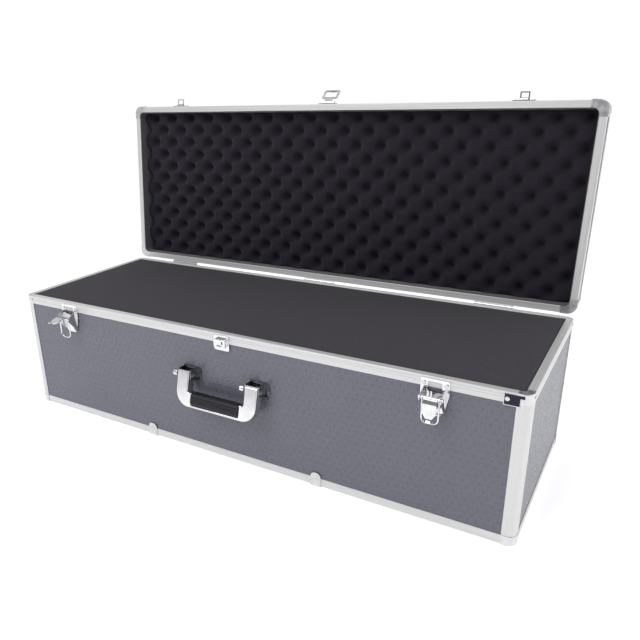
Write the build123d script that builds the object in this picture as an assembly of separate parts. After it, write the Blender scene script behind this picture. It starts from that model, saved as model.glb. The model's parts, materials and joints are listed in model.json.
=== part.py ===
# Long aluminium-framed carrying case with an embossed panel skin, a foam-filled base and a foam-lined lid.
# Frame: X along the length, Y from front to back, +Z up. The origin is the centre of the base's underside,
# on the flat board between the foot clips. The lid is built shut, then turned open about its hinge pins.
# All sizes are in millimetres.
from build123d import *
import os

# ---- driving dimensions -------------------------------------------------------------------------
LENGTH = 1000.0          # outside length of the case
DEPTH = 350.0            # outside depth, front to back
BASE_HEIGHT = 240.0      # underside board to the base's mating face
LID_HEIGHT = 48.0        # lid's mating face to its top
OPEN_ANGLE = 95.0        # how far the lid stands open
SEAM = 0.4               # gap between lid and base when shut

SHEET = 1.5              # wall of the aluminium sections
PANEL_THICK = 5.0        # laminated side boards
BOTTOM_THICK = 7.5       # bottom board
RAIL_WIDTH = 12.0        # mating face of the rim rails
RAIL_HEIGHT = 16.0
GROOVE_DEPTHS = (4.5, 8.3)  # two fine grooves in a rail's face, measured from its mating face
GROOVE = 0.7             # width of a groove; it is half as deep
WEB = 1.2                # inner webs of the rim rails
TRIM_HEIGHT = 14.0       # edge trims along the bottom and the lid's top
TRIM_WIDTH = 13.0
POST_ARM = 20.0          # corner posts, measured along each face
POST_WALL = 8.0
POST_RADIUS = 13.0
BASE_CORNER_ARM = 20.0   # rim corner castings of the base
LID_CORNER_ARM = 26.0    # rim corner castings of the lid
LID_CORNER_RADIUS = 15.0
PROUD = 0.8              # how far castings bulge beyond the sections
PANEL_END = 10.0         # side boards stop this far short of the outer corner
FOOT_DROP = 2.0          # foot clips and corner caps stand this far below the board

PLATE = 1.2              # pressed-steel plates
RIVET_HEAD = 3.4         # rivet head radius
RIVET_RISE = 1.3
RIVET_SHANK = 1.5
RIVET_GRIP = 3.4         # length of shank below the plate
RUNNING = 0.06           # radial clearance of a pin in its knuckle

HINGE_SETBACK = 3.4      # hinge axis behind the back face
HINGE_CENTRES = (-362.0, 0.0, 362.0)
HINGE_LENGTH = 70.0
HINGE_BARREL = 2.5
HINGE_PIN = 1.3
HINGE_MIDDLE = 28.0      # length of the base leaf's barrel

LATCH_X = 370.0
LATCH_WIDTH = 42.0
LATCH_TOP = 237.0
LATCH_BOTTOM = 181.0
LATCH_PIN_OUT = 17.5     # latch pin in front of the rail face
LATCH_PIN_Z = 214.0
LATCH_PIN_RADIUS = 1.5
LATCH_SWING = 78.0       # the lever's swing from straight out to shut
LEVER_WIDTH = 20.0
LEVER_LENGTH = 36.0
RING_WIRE = 1.25         # wire radius
RING_HALF_WIDTH = 12.25  # to the wire's centre
RING_DROP = 38.75        # pin to the centre of the wire at the ring's lower end
RING_CORNER = 8.0
RING_EYE = 3.2

HASP_PIN_RISE = 6.0      # hasp pin above the lid's mating face
HASP_REST = 135.0        # how far the hasp stands back from shut
HASP_WIDTH = 34.0
HASP_DROP = 33.0

HANDLE_SPAN = 166.0      # outside width of the bow
HANDLE_DROP = 55.0       # pin to the bottom of the bow
HANDLE_ARM = 24.0
HANDLE_DEPTH = 16.0
HANDLE_TILT = 14.0       # the bow hangs leaning out at the bottom
HANDLE_PIN_OUT = 16.0
HANDLE_PIN_Z = 157.0
HANDLE_PIN_RADIUS = 2.4
EYE_RADIUS = 9.2         # rounding of the arms' ends round the pin
STRIP_THICK = 4.0        # chromed strip under the grip
GRIP_LENGTH = 100.0
GRIP_HEIGHT = 22.0

FOOT_X = 179.0
FOOT_WIDTH = 19.0
FOOT_TOP = 24.0          # top of a foot clip's arched tab

# ---- worked-out dimensions ----------------------------------------------------------------------
HALF_L = LENGTH / 2
HALF_D = DEPTH / 2
FRONT = -HALF_D
PANEL_OUT = SHEET
PANEL_IN = SHEET + PANEL_THICK
RAIL_BOTTOM = BASE_HEIGHT - RAIL_HEIGHT
LID_RIM = BASE_HEIGHT + SEAM
LID_TOP = LID_RIM + LID_HEIGHT
LID_PANEL_TOP = LID_TOP - SHEET
HINGE_Y = HALF_D + HINGE_SETBACK
HINGE_Z = BASE_HEIGHT + SEAM / 2
LATCH_PIN_Y = FRONT - LATCH_PIN_OUT
HANDLE_PIN_Y = FRONT - HANDLE_PIN_OUT
HASP_PIN_Y = FRONT - PLATE - 2.4
HASP_PIN_Z = LID_RIM + HASP_PIN_RISE

# each side: turn about Z from the front, length along the side, distance of its face from the centre
SIDES = {
    "front": (0, LENGTH, HALF_D),
    "right": (90, DEPTH, HALF_L),
    "back": (180, LENGTH, HALF_D),
    "left": (-90, DEPTH, HALF_L),
}
# each corner: turn about Z from the back-right corner, then its place
CORNERS = {
    "back_right": (0, HALF_L, HALF_D),
    "back_left": (90, -HALF_L, HALF_D),
    "front_left": (180, -HALF_L, -HALF_D),
    "front_right": (270, HALF_L, -HALF_D),
}

nodes = {}


# ---- small helpers ------------------------------------------------------------------------------
def block(x0, x1, y0, y1, z0, z1):
    """A box between two corners."""
    size = Box(x1 - x0, y1 - y0, z1 - z0)
    return Pos((x0 + x1) / 2, (y0 + y1) / 2, (z0 + z1) / 2) * size


def rod(radius, x0, x1, y=0.0, z=0.0):
    """A round bar along X."""
    return Pos((x0 + x1) / 2, y, z) * Rot(0, 90, 0) * Cylinder(radius, x1 - x0)


def group(pieces):
    """Separate solids kept together in one node."""
    solids = [solid for piece in pieces for solid in piece.solids()]
    return Compound(solids)


def opened(piece):
    """Turn a lid piece from shut to its open stop."""
    return piece.rotate(Axis((0, HINGE_Y, HINGE_Z), (1, 0, 0)), -OPEN_ANGLE)


def on_side(side, piece):
    """Carry a piece built on the front face to another side."""
    turn = SIDES[side][0]
    return Rot(0, 0, turn) * piece


def at_corner(corner, piece):
    """Carry a piece built with its outer corner at the origin, material towards -X and -Y, to a corner."""
    turn, x, y = CORNERS[corner]
    return Pos(x, y, 0) * Rot(0, 0, turn) * piece


def side_strip(side, end_gap, inner, outer, z0, z1):
    """A bar along one side, measured inwards from the outer face."""
    _, length, offset = SIDES[side]
    half = length / 2 - end_gap
    return on_side(side, block(-half, half, -offset + outer, -offset + inner, z0, z1))


def square_with_round_corner(size, radius):
    """A square standing on (0, 0) whose far corner is rounded."""
    square = Rectangle(size, size, align=(Align.MIN, Align.MIN))
    far_corner = square.vertices().sort_by_distance((size, size))[0]
    return fillet(far_corner, radius) if radius else square


def corner_block(arm, wall, radius, z0, z1, bulge=0.0, inner_radius=0.0):
    """An L in plan with a rounded outer corner, built at the origin."""
    plan = Pos(-arm, -arm) * square_with_round_corner(arm + bulge, radius + bulge)
    if wall < arm:
        plan = plan - Pos(-arm, -arm) * square_with_round_corner(arm - wall, inner_radius)
    return Pos(0, 0, z0) * extrude(plan, z1 - z0)


def board_slots(arm, z0, z1):
    """The room that the two side boards take in a corner piece, built at the origin."""
    along_x = block(-arm, -PANEL_END, -PANEL_IN, -PANEL_OUT, z0, z1)
    along_y = block(-PANEL_IN, -PANEL_OUT, -arm, -PANEL_END, z0, z1)
    return along_x + along_y


# ---- the base's shell ---------------------------------------------------------------------------
def rail_section(z_face, direction):
    """The rim rail's section on the front face: slot for the board, and a hollow inner chamber.
    direction is -1 for the base's rail, which hangs below its mating face, and 1 for the lid's."""
    far = z_face + direction * RAIL_HEIGHT
    low, high = min(z_face, far), max(z_face, far)
    outline = Pos(FRONT, low) * Rectangle(RAIL_WIDTH, RAIL_HEIGHT, align=(Align.MIN, Align.MIN))
    face_corners = outline.vertices().sort_by(Axis.Y)
    face_corners = face_corners[-2:] if direction < 0 else face_corners[:2]
    outline = fillet(face_corners, 1.0)
    slot_low = low if direction < 0 else z_face + SHEET
    slot = Pos(FRONT + PANEL_OUT, slot_low) * Rectangle(
        PANEL_THICK, RAIL_HEIGHT - SHEET, align=(Align.MIN, Align.MIN))
    chamber_start = PANEL_IN + WEB
    chamber = Pos(FRONT + chamber_start, low + SHEET) * Rectangle(
        RAIL_WIDTH - SHEET - chamber_start, high - low - 2 * SHEET, align=(Align.MIN, Align.MIN))
    section = outline - slot - chamber
    for depth in GROOVE_DEPTHS:
        section = section - Pos(FRONT, z_face + direction * depth) * Rectangle(GROOVE, GROOVE)
    return section


def rim_rail(side, z_face, direction, end_gap):
    """One length of rim rail, cut square at its corner castings."""
    _, length, offset = SIDES[side]
    half = length / 2 - end_gap
    section = Plane.YZ * rail_section(z_face, direction)
    bar = extrude(section, half, both=True)
    return on_side(side, Pos(0, HALF_D - offset, 0) * bar)


def edge_trim(side, z_outer, direction, end_gap):
    """An L-shaped edge trim: one leg up the face, one leg under or over the board."""
    far = z_outer + direction * TRIM_HEIGHT
    leg = z_outer + direction * SHEET
    upright = side_strip(side, end_gap, SHEET, 0, min(z_outer, far), max(z_outer, far))
    flat = side_strip(side, end_gap, TRIM_WIDTH, 0, min(z_outer, leg), max(z_outer, leg))
    return upright + flat


def base_board(side):
    return side_strip(side, PANEL_END, PANEL_IN, PANEL_OUT, SHEET, BASE_HEIGHT - SHEET)


def bottom_board():
    """The bottom board, rebated round its underside so that it lies flush with the trims."""
    inside_x, inside_y = HALF_L - PANEL_IN, HALF_D - PANEL_IN
    flush_x, flush_y = HALF_L - TRIM_WIDTH, HALF_D - TRIM_WIDTH
    upper = block(-inside_x, inside_x, -inside_y, inside_y, SHEET, BOTTOM_THICK)
    lower = block(-flush_x, flush_x, -flush_y, flush_y, 0, SHEET)
    return upper + lower


def corner_post():
    """A rounded corner post that grips both boards."""
    body = corner_block(
        POST_ARM, POST_WALL, POST_RADIUS, TRIM_HEIGHT, RAIL_BOTTOM, inner_radius=1.5)
    bore = Pos(-POST_WALL, -POST_WALL, (TRIM_HEIGHT + RAIL_BOTTOM) / 2) * Cylinder(
        1.2, RAIL_BOTTOM - TRIM_HEIGHT)
    return body - board_slots(POST_ARM, TRIM_HEIGHT, RAIL_BOTTOM) - bore


def base_rim_corner():
    """The casting that joins two rim rails over a post."""
    body = corner_block(
        BASE_CORNER_ARM, RAIL_WIDTH, POST_RADIUS, RAIL_BOTTOM, BASE_HEIGHT, inner_radius=4.0)
    body = fillet(body.faces().sort_by(Axis.Z)[-1].edges(), 0.8)
    return body - board_slots(BASE_CORNER_ARM, RAIL_BOTTOM, BASE_HEIGHT - SHEET)


def bottom_cap():
    """The rounded cap under a post, which is also a foot."""
    wall = corner_block(POST_ARM, PANEL_IN, POST_RADIUS, -FOOT_DROP, TRIM_HEIGHT, PROUD)
    sole = corner_block(POST_ARM, TRIM_WIDTH, POST_RADIUS, -FOOT_DROP, SHEET, PROUD)
    cap = wall + sole
    cap = fillet(cap.faces().sort_by(Axis.Z)[0].edges(), 1.6)
    return cap - board_slots(POST_ARM, SHEET, TRIM_HEIGHT)


def foot_clip(side, x):
    """A pressed clip over the bottom trim with an arched tab, standing a little below the board."""
    tab = Pos(x, FRONT - PLATE, 0) * block(
        -FOOT_WIDTH / 2, FOOT_WIDTH / 2, 0, PLATE, -FOOT_DROP, FOOT_TOP)
    top_corners = tab.edges().filter_by(Axis.Y).sort_by(Axis.Z)[-2:]
    tab = fillet(top_corners, FOOT_WIDTH / 2 - 1)
    sole = Pos(x, 0, 0) * block(
        -FOOT_WIDTH / 2, FOOT_WIDTH / 2, FRONT, FRONT + TRIM_WIDTH - 0.5, -FOOT_DROP, 0)
    return on_side(side, tab + sole)


def build_base_shell():
    nodes["base_panel_bottom"] = bottom_board()
    for side in SIDES:
        nodes["base_panel_" + side] = base_board(side)
        nodes["base_rim_rail_" + side] = rim_rail(side, BASE_HEIGHT, -1, BASE_CORNER_ARM)
    nodes["base_bottom_trims"] = group([edge_trim(side, 0, 1, POST_ARM) for side in SIDES])
    for corner in CORNERS:
        nodes["base_post_" + corner] = at_corner(corner, corner_post())
    nodes["base_rim_corners"] = group([at_corner(corner, base_rim_corner()) for corner in CORNERS])
    nodes["base_bottom_caps"] = group([at_corner(corner, bottom_cap()) for corner in CORNERS])
    feet = [foot_clip(side, x) for side in ("front", "back") for x in (-FOOT_X, FOOT_X)]
    nodes["foot_clips"] = group(feet)


# ---- the foam in the base -----------------------------------------------------------------------
FOAM_GAP = 0.5           # round the foam
FOAM_RECESS = 0.5        # foam block below the mating face
FOAM_LAYER_GAP = 0.3     # between foam and board, and between foam layers
FOAM_CORNER = 6.0
PAD_THICK = 19.0
LINING = 1.2             # liner strips on the lid's inner walls
EGG_CRATE_RECESS = 18.0  # peaks of the egg-crate foam above the lid's mating face


def foam_layer(low, high):
    """A layer of foam cut to the opening between the rim rails, with rounded corners."""
    half_x = HALF_L - RAIL_WIDTH - FOAM_GAP
    half_y = HALF_D - RAIL_WIDTH - FOAM_GAP
    layer = block(-half_x, half_x, -half_y, half_y, low, high)
    return fillet(layer.edges().filter_by(Axis.Z), FOAM_CORNER)


def build_base_foam():
    pad_low = BOTTOM_THICK + FOAM_LAYER_GAP
    pad_high = pad_low + PAD_THICK
    nodes["base_foam_pad"] = foam_layer(pad_low, pad_high)
    nodes["base_foam_block"] = foam_layer(pad_high + FOAM_LAYER_GAP, BASE_HEIGHT - FOAM_RECESS)


# ---- the lid's shell, built shut ----------------------------------------------------------------
def lid_board(side):
    return side_strip(side, PANEL_END, PANEL_IN, PANEL_OUT, LID_RIM + SHEET, LID_PANEL_TOP)


def lid_corner():
    """A full-height casting with a rounded corner that joins the lid's rails, boards and trims."""
    rim_top = LID_RIM + RAIL_HEIGHT
    rim = corner_block(
        LID_CORNER_ARM, RAIL_WIDTH, LID_CORNER_RADIUS, LID_RIM, rim_top, PROUD, inner_radius=10.0)
    wall = corner_block(POST_ARM, PANEL_IN, LID_CORNER_RADIUS - 1.5, rim_top, LID_PANEL_TOP, PROUD)
    crown = corner_block(POST_ARM, TRIM_WIDTH, LID_CORNER_RADIUS - 1.5, LID_PANEL_TOP, LID_TOP, PROUD)
    body = rim + wall + crown
    body = fillet(body.faces().sort_by(Axis.Z)[-1].edges(), 0.7)
    slots = board_slots(LID_CORNER_ARM, LID_RIM + SHEET, LID_PANEL_TOP)
    return body - slots


def lid_wall_lining():
    """Thin lining strips inside the rim rails, from just above the mating face to the top board."""
    low, high = LID_RIM + 1.0, LID_PANEL_TOP - PANEL_THICK - 0.3
    strips = []
    for side in SIDES:
        end_gap = LID_CORNER_ARM if side in ("front", "back") else LID_CORNER_ARM - 2
        strips.append(side_strip(side, end_gap, RAIL_WIDTH + LINING, RAIL_WIDTH, low, high))
    return group(strips)


def build_lid_shell():
    inside_x, inside_y = HALF_L - PANEL_IN, HALF_D - PANEL_IN
    nodes["lid_panel_top"] = opened(block(
        -inside_x, inside_x, -inside_y, inside_y, LID_PANEL_TOP - PANEL_THICK, LID_PANEL_TOP))
    for side in SIDES:
        nodes["lid_panel_" + side] = opened(lid_board(side))
        nodes["lid_rim_rail_" + side] = opened(rim_rail(side, LID_RIM, 1, LID_CORNER_ARM))
    trims = [edge_trim(side, LID_TOP, -1, POST_ARM) for side in SIDES]
    nodes["lid_top_trims"] = opened(group(trims))
    for corner in CORNERS:
        nodes["lid_corner_" + corner] = opened(at_corner(corner, lid_corner()))


def build_lid_foam():
    half_x = HALF_L - RAIL_WIDTH - LINING - FOAM_GAP
    half_y = HALF_D - RAIL_WIDTH - LINING - FOAM_GAP
    low = LID_RIM + EGG_CRATE_RECESS
    high = LID_PANEL_TOP - PANEL_THICK - 0.3
    nodes["lid_egg_crate_foam"] = opened(block(-half_x, half_x, -half_y, half_y, low, high))
    nodes["lid_wall_lining"] = opened(lid_wall_lining())


# ---- hinges -------------------------------------------------------------------------------------
LEAF_START = 1.8         # from the pin's height to the near edge of a leaf's plate
LEAF_DEPTH = 15.0        # from the pin's height to its far edge
BARREL_GAP = 0.3


def hinge_leaf(x, direction, spans):
    """A cranked leaf: a plate on the back rail, a strap out to the pin and barrels at the given spans.
    direction is -1 below the pin for the base's leaf and 1 above it for the lid's."""
    inner = HINGE_Z + direction * (HINGE_BARREL - PLATE)
    outer = HINGE_Z + direction * HINGE_BARREL
    near = HINGE_Z + direction * LEAF_START
    far = HINGE_Z + direction * LEAF_DEPTH
    half = HINGE_LENGTH / 2
    plate = block(x - half, x + half, HALF_D, HALF_D + PLATE, min(near, far), max(near, far))
    leaf = plate
    for start, end in spans:
        strap = block(x + start, x + end, HALF_D + PLATE, HINGE_Y, min(inner, outer), max(inner, outer))
        barrel = rod(HINGE_BARREL, x + start, x + end, HINGE_Y, HINGE_Z)
        leaf = leaf + strap + barrel
    return leaf - rod(HINGE_PIN + RUNNING, x - half, x + half, HINGE_Y, HINGE_Z)


def hinge_pin(x):
    half = HINGE_LENGTH / 2
    head = 1.4
    pin = rod(HINGE_PIN, x - half, x + half, HINGE_Y, HINGE_Z)
    for start in (x - half - head, x + half):
        pin = pin + rod(HINGE_BARREL - 0.6, start, start + head, HINGE_Y, HINGE_Z)
    return pin


def build_hinges():
    half, middle = HINGE_LENGTH / 2, HINGE_MIDDLE / 2
    base_spans = [(-middle, middle)]
    lid_spans = [(-half, -middle - BARREL_GAP), (middle + BARREL_GAP, half)]
    base_leaves = [hinge_leaf(x, -1, base_spans) for x in HINGE_CENTRES]
    lid_leaves = [hinge_leaf(x, 1, lid_spans) for x in HINGE_CENTRES]
    nodes["hinge_base_leaves"] = group(base_leaves)
    nodes["hinge_lid_leaves"] = opened(group(lid_leaves))
    nodes["hinge_pins"] = group([hinge_pin(x) for x in HINGE_CENTRES])


# ---- side latches -------------------------------------------------------------------------------
PLATE_SHOULDER_Z = 214.0  # below this the latch plate tapers
PLATE_WAIST = (15.5, 190.0)  # half width and height where the taper steepens
PLATE_TOE_HALF = 9.5
WINDOW_HALF = 10.5
WINDOW_HEIGHT = 15.0
WINDOW_Z = 225.0
CHEEK_X = 15.0           # inner face of the latch plate's cheeks
CHEEK_NOSE = 4.0         # cheeks reach this far in front of the pin
CHEEK_TOP, CHEEK_BOTTOM = 226.0, 185.0
PIN_HEAD_RADIUS = 2.5
PIN_HEAD = 1.6
LEVER_THICK = 1.4
TONGUE_HALF = 3.2
LEVER_NECK = (-22.0, -32.0)  # where the lever narrows to its tongue, from the pin


def latch_plate(x):
    """Pressed plate with two ears, a window between them and two cheeks that carry the pin."""
    half = LATCH_WIDTH / 2
    waist, waist_z = PLATE_WAIST
    outline = make_face(Polyline(
        (-half, LATCH_TOP), (half, LATCH_TOP), (half, PLATE_SHOULDER_Z), (waist, waist_z),
        (PLATE_TOE_HALF, LATCH_BOTTOM), (-PLATE_TOE_HALF, LATCH_BOTTOM), (-waist, waist_z),
        (-half, PLATE_SHOULDER_Z), close=True))
    outline = fillet(outline.vertices(), 3.0)
    window = Pos(0, WINDOW_Z) * RectangleRounded(2 * WINDOW_HALF, WINDOW_HEIGHT, 1.5)
    sheet = outline - window
    plate = Pos(x, FRONT, 0) * extrude(Plane.XZ * sheet, PLATE)
    for sign in (-1, 1):
        plate = plate + Pos(x + sign * (CHEEK_X + PLATE / 2), 0, 0) * latch_cheek()
    bore = rod(LATCH_PIN_RADIUS, x - half, x + half, LATCH_PIN_Y, LATCH_PIN_Z)
    return plate - bore


def latch_cheek():
    """A side cheek of the latch plate, standing out from it round the pin."""
    root = FRONT - PLATE
    nose = LATCH_PIN_Y - CHEEK_NOSE
    profile = make_face(Polyline(
        (root, CHEEK_TOP), (LATCH_PIN_Y + 3, LATCH_PIN_Z + 5.5), (nose, LATCH_PIN_Z + 2.5),
        (nose, LATCH_PIN_Z - 3.5), (root - 3.5, CHEEK_BOTTOM + 4), (root, CHEEK_BOTTOM), close=True))
    profile = fillet(profile.vertices(), 1.6)
    return extrude(Plane.YZ * profile, PLATE / 2, both=True)


def latch_pin(x):
    """Pin through both cheeks with a riveted head at each end."""
    reach = CHEEK_X + PLATE
    pin = rod(LATCH_PIN_RADIUS, x - reach, x + reach, LATCH_PIN_Y, LATCH_PIN_Z)
    left = rod(PIN_HEAD_RADIUS, x - reach - PIN_HEAD, x - reach, LATCH_PIN_Y, LATCH_PIN_Z)
    right = rod(PIN_HEAD_RADIUS, x + reach, x + reach + PIN_HEAD, LATCH_PIN_Y, LATCH_PIN_Z)
    return pin + left + right


def lever_body():
    """The lever's curved sheet, seen from the side and pulled across its width."""
    crest = ((-1.0, 2.2), (-12.0, 3.2), (-24.0, 0.4), (-30.0, -0.6), (-LEVER_LENGTH, 2.2))
    top = Spline(*crest)
    bottom = Spline(*[(y, z - LEVER_THICK) for y, z in reversed(crest)])
    ends = [Line(top @ 1, bottom @ 0), Line(bottom @ 1, top @ 0)]
    profile = make_face([top, ends[0], bottom, ends[1]])
    return extrude(Plane.YZ * profile, LEVER_WIDTH / 2, both=True)


def latch_lever(x, turn):
    """Curved lever with an upturned tongue, curled round the pin; turn is its drop from straight out."""
    half = LEVER_WIDTH / 2
    tip = -LEVER_LENGTH - 4
    wide_until, narrow_from = LEVER_NECK
    plan = make_face(Polyline(
        (-half, 1), (half, 1), (half, wide_until), (TONGUE_HALF, narrow_from), (TONGUE_HALF, tip),
        (-TONGUE_HALF, tip), (-TONGUE_HALF, narrow_from), (-half, wide_until), close=True))
    body = lever_body() & extrude(plan, LEVER_WIDTH, both=True)
    curl = rod(LATCH_PIN_RADIUS + RUNNING + 1.2, -half, half)
    lever = body + curl - rod(LATCH_PIN_RADIUS + RUNNING, -half, half)
    return Pos(x, LATCH_PIN_Y, LATCH_PIN_Z) * Rot(turn, 0, 0) * lever


def latch_ring(x):
    """Wire ring that hangs from two eyes on the pin, with well-rounded lower corners."""
    w = RING_HALF_WIDTH
    start = (-w, 0, -RING_EYE + 1.0)
    path = FilletPolyline(
        start, (-w, 0, -RING_DROP), (w, 0, -RING_DROP), (w, 0, -RING_EYE + 1.0), radius=RING_CORNER)
    wire = sweep(Plane(origin=start, z_dir=(0, 0, -1)) * Circle(RING_WIRE), path.wire())
    for centre in (-w, w):
        wire = wire + rod(RING_EYE, centre - RING_WIRE, centre + RING_WIRE)
    ring = wire - rod(LATCH_PIN_RADIUS + RUNNING, -w - RING_EYE, w + RING_EYE)
    return Pos(x, LATCH_PIN_Y, LATCH_PIN_Z) * ring


KEEPER_HALF = 20.0
KEEPER_LOW = 1.0         # keeper plates above the lid's mating face
KEEPER_HIGH = 15.6
TAB_HALF = 8.0
TAB_REACH = 14.0         # tab in front of the keeper's face
TAB_RISE = 7.3           # tab above the lid's mating face
TAB_LIP = 2.8


def lid_plate():
    """The rounded plate that the keepers and the hasp's flange share."""
    plate = block(-KEEPER_HALF, KEEPER_HALF, FRONT - PLATE, FRONT, LID_RIM + KEEPER_LOW,
                  LID_RIM + KEEPER_HIGH)
    return fillet(plate.edges().filter_by(Axis.Y), 2.5)


def lid_keeper(x):
    """Keeper on the lid's rim: a plate with a windowed tab that the ring drops over."""
    face = FRONT - PLATE
    low = LID_RIM + TAB_RISE
    reach = face - TAB_REACH
    tab = block(-TAB_HALF, TAB_HALF, reach, face, low, low + PLATE)
    lip = block(-TAB_HALF, TAB_HALF, reach, reach + PLATE, low, low + TAB_LIP)
    rib = block(1.5 - TAB_HALF, TAB_HALF - 1.5, face - 3.4, face, low - 4.5, low)
    rib = fillet(rib.edges().filter_by(Axis.X).sort_by(Axis.Y)[0], 2.2)
    window = block(2.2 - TAB_HALF, TAB_HALF - 2.2, reach + 2, face - 4.2, low - 1, low + 2)
    return Pos(x, 0, 0) * (lid_plate() + tab + lip + rib - window)


def build_latches():
    for name, x, turn in (("left", -LATCH_X, 0), ("right", LATCH_X, LATCH_SWING)):
        nodes["latch_plate_" + name] = latch_plate(x)
        nodes["latch_lever_" + name] = latch_lever(x, turn)
        nodes["latch_ring_" + name] = latch_ring(x)
        nodes["lid_keeper_" + name] = opened(lid_keeper(x))
    nodes["latch_pins"] = group([latch_pin(-LATCH_X), latch_pin(LATCH_X)])


# ---- centre hasp --------------------------------------------------------------------------------
HASP_BARREL = 2.4
HASP_PIN = 1.2
HASP_PIN_HEAD = 2.0
HASP_FLANGE_HALF = 15.0  # outer ends of the flange's barrels
HASP_MIDDLE = 7.5
HASP_THICK = 1.8
LOOP_HEIGHT = 23.0
LOOP_SIDE = 4.25         # width of the loop's sides
LOOP_BAR = 3.75          # height of its upper and lower bars
CATCH_HALF = 15.5
CATCH_HALF_HEIGHT = 13.5
KNOB_HALF = 12.0         # the catch's raised block
KNOB_HALF_HEIGHT = 7.0
KNOB_RISE = 7.0
HASP_LOW = HASP_PIN_Z - HASP_DROP
LOOP_CENTRE = HASP_LOW + LOOP_HEIGHT / 2


def hasp_flange():
    """Plate on the lid's rim with two barrels for the hasp's pin."""
    face = FRONT - PLATE
    inner, outer = HASP_MIDDLE + BARREL_GAP, HASP_FLANGE_HALF
    flange = lid_plate()
    for start, end in ((-outer, -inner), (inner, outer)):
        flange = flange + rod(HASP_BARREL, start, end, HASP_PIN_Y, HASP_PIN_Z)
        flange = flange + block(start, end, HASP_PIN_Y, face, HASP_PIN_Z, HASP_PIN_Z + HASP_BARREL)
    relief = rod(HASP_BARREL + 0.4, -inner, inner, HASP_PIN_Y, HASP_PIN_Z)
    bore = rod(HASP_PIN + RUNNING, -KEEPER_HALF, KEEPER_HALF, HASP_PIN_Y, HASP_PIN_Z)
    return flange - relief - bore


def hasp_pin():
    """The hasp's pin with a riveted head at each end."""
    end = HASP_FLANGE_HALF
    pin = rod(HASP_PIN, -end, end, HASP_PIN_Y, HASP_PIN_Z)
    for start in (-end - PLATE, end):
        pin = pin + rod(HASP_PIN_HEAD, start, start + PLATE, HASP_PIN_Y, HASP_PIN_Z)
    return pin


def hasp():
    """The swinging hasp: a barrel, a short arm and a rectangular loop, built hanging down."""
    half_thick = HASP_THICK / 2
    front, back = HASP_PIN_Y - half_thick, HASP_PIN_Y + half_thick
    barrel = rod(HASP_BARREL, -HASP_MIDDLE, HASP_MIDDLE, HASP_PIN_Y, HASP_PIN_Z)
    arm_low = HASP_LOW + LOOP_HEIGHT - LOOP_BAR + 1.0
    arm = block(-HASP_MIDDLE, HASP_MIDDLE, front, back, arm_low, HASP_PIN_Z)
    outer = Pos(0, LOOP_CENTRE) * RectangleRounded(HASP_WIDTH, LOOP_HEIGHT, 4)
    opening = Pos(0, LOOP_CENTRE) * RectangleRounded(
        HASP_WIDTH - 2 * LOOP_SIDE, LOOP_HEIGHT - 2 * LOOP_BAR, 1.5)
    loop = Pos(0, back, 0) * extrude(Plane.XZ * (outer - opening), HASP_THICK)
    finger_lip = block(-5, 5, front - 2.2, front, HASP_LOW, HASP_LOW + 2)
    whole = barrel + arm + loop + finger_lip
    return whole - rod(HASP_PIN + RUNNING, -HASP_WIDTH, HASP_WIDTH, HASP_PIN_Y, HASP_PIN_Z)


def hasp_catch():
    """Catch on the base: a plate and a raised rounded block, with two slots, that fills the loop."""
    face = FRONT - PLATE
    plate = block(-CATCH_HALF, CATCH_HALF, face, FRONT, LOOP_CENTRE - CATCH_HALF_HEIGHT - 1,
                  LOOP_CENTRE + CATCH_HALF_HEIGHT - 1)
    plate = fillet(plate.edges().filter_by(Axis.Y), 3.5)
    low, high = LOOP_CENTRE - KNOB_HALF_HEIGHT, LOOP_CENTRE + KNOB_HALF_HEIGHT
    knob = block(-KNOB_HALF, KNOB_HALF, face - KNOB_RISE, face, low, high)
    knob = fillet(knob.edges().filter_by(Axis.Y), 2.0)
    knob = fillet(knob.faces().sort_by(Axis.Y)[0].edges(), 1.2)
    slot_back = face - KNOB_RISE + 5.0
    low_slot = block(-5, 5, face - KNOB_RISE, slot_back, low + 2.0, low + 4.6)
    side_slot = block(4.6, 7.6, face - KNOB_RISE, slot_back, low + 6.4, high - 2.0)
    return plate + knob - low_slot - side_slot


def build_hasp():
    nodes["hasp_flange"] = opened(hasp_flange())
    nodes["hasp_pin"] = opened(hasp_pin())
    swung = hasp().rotate(Axis((0, HASP_PIN_Y, HASP_PIN_Z), (1, 0, 0)), -HASP_REST)
    nodes["hasp_loop"] = opened(swung)
    nodes["hasp_catch"] = hasp_catch()


# ---- handle -------------------------------------------------------------------------------------
ARM_CENTRE = HANDLE_SPAN / 2 - HANDLE_ARM / 2
ARM_WALL = 2.5
BOW_CORNER = 27.0        # outer rounding of the bow's lower corners
LUG = 2.2
LUG_GAP = 0.4
LUG_REACH = 5.0          # lugs in front of the pin
LUG_RISE = 10.0          # lugs above the pin
LUG_FALL = 9.0
FLANGE_HALF = 22.0       # back plates of the brackets
FLANGE_RISE = 11.0
FLANGE_FALL = 15.0
FLANGE_THICK = 2.0
LIP = 3.0                # the folded lip above the arm's eye
PIN_NECK = 2.0           # bare pin between a lug and the knob
PIN_KNOB = 9.0
PIN_KNOB_RADIUS = 5.8
GRIP_LOW = -HANDLE_DROP + STRIP_THICK
GRIP_HIGH = GRIP_LOW + GRIP_HEIGHT
GRIP_BACK, GRIP_FRONT = 14.0, -10.0
GRIP_GROOVES = (-5.0, 0.0, 5.0)


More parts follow.
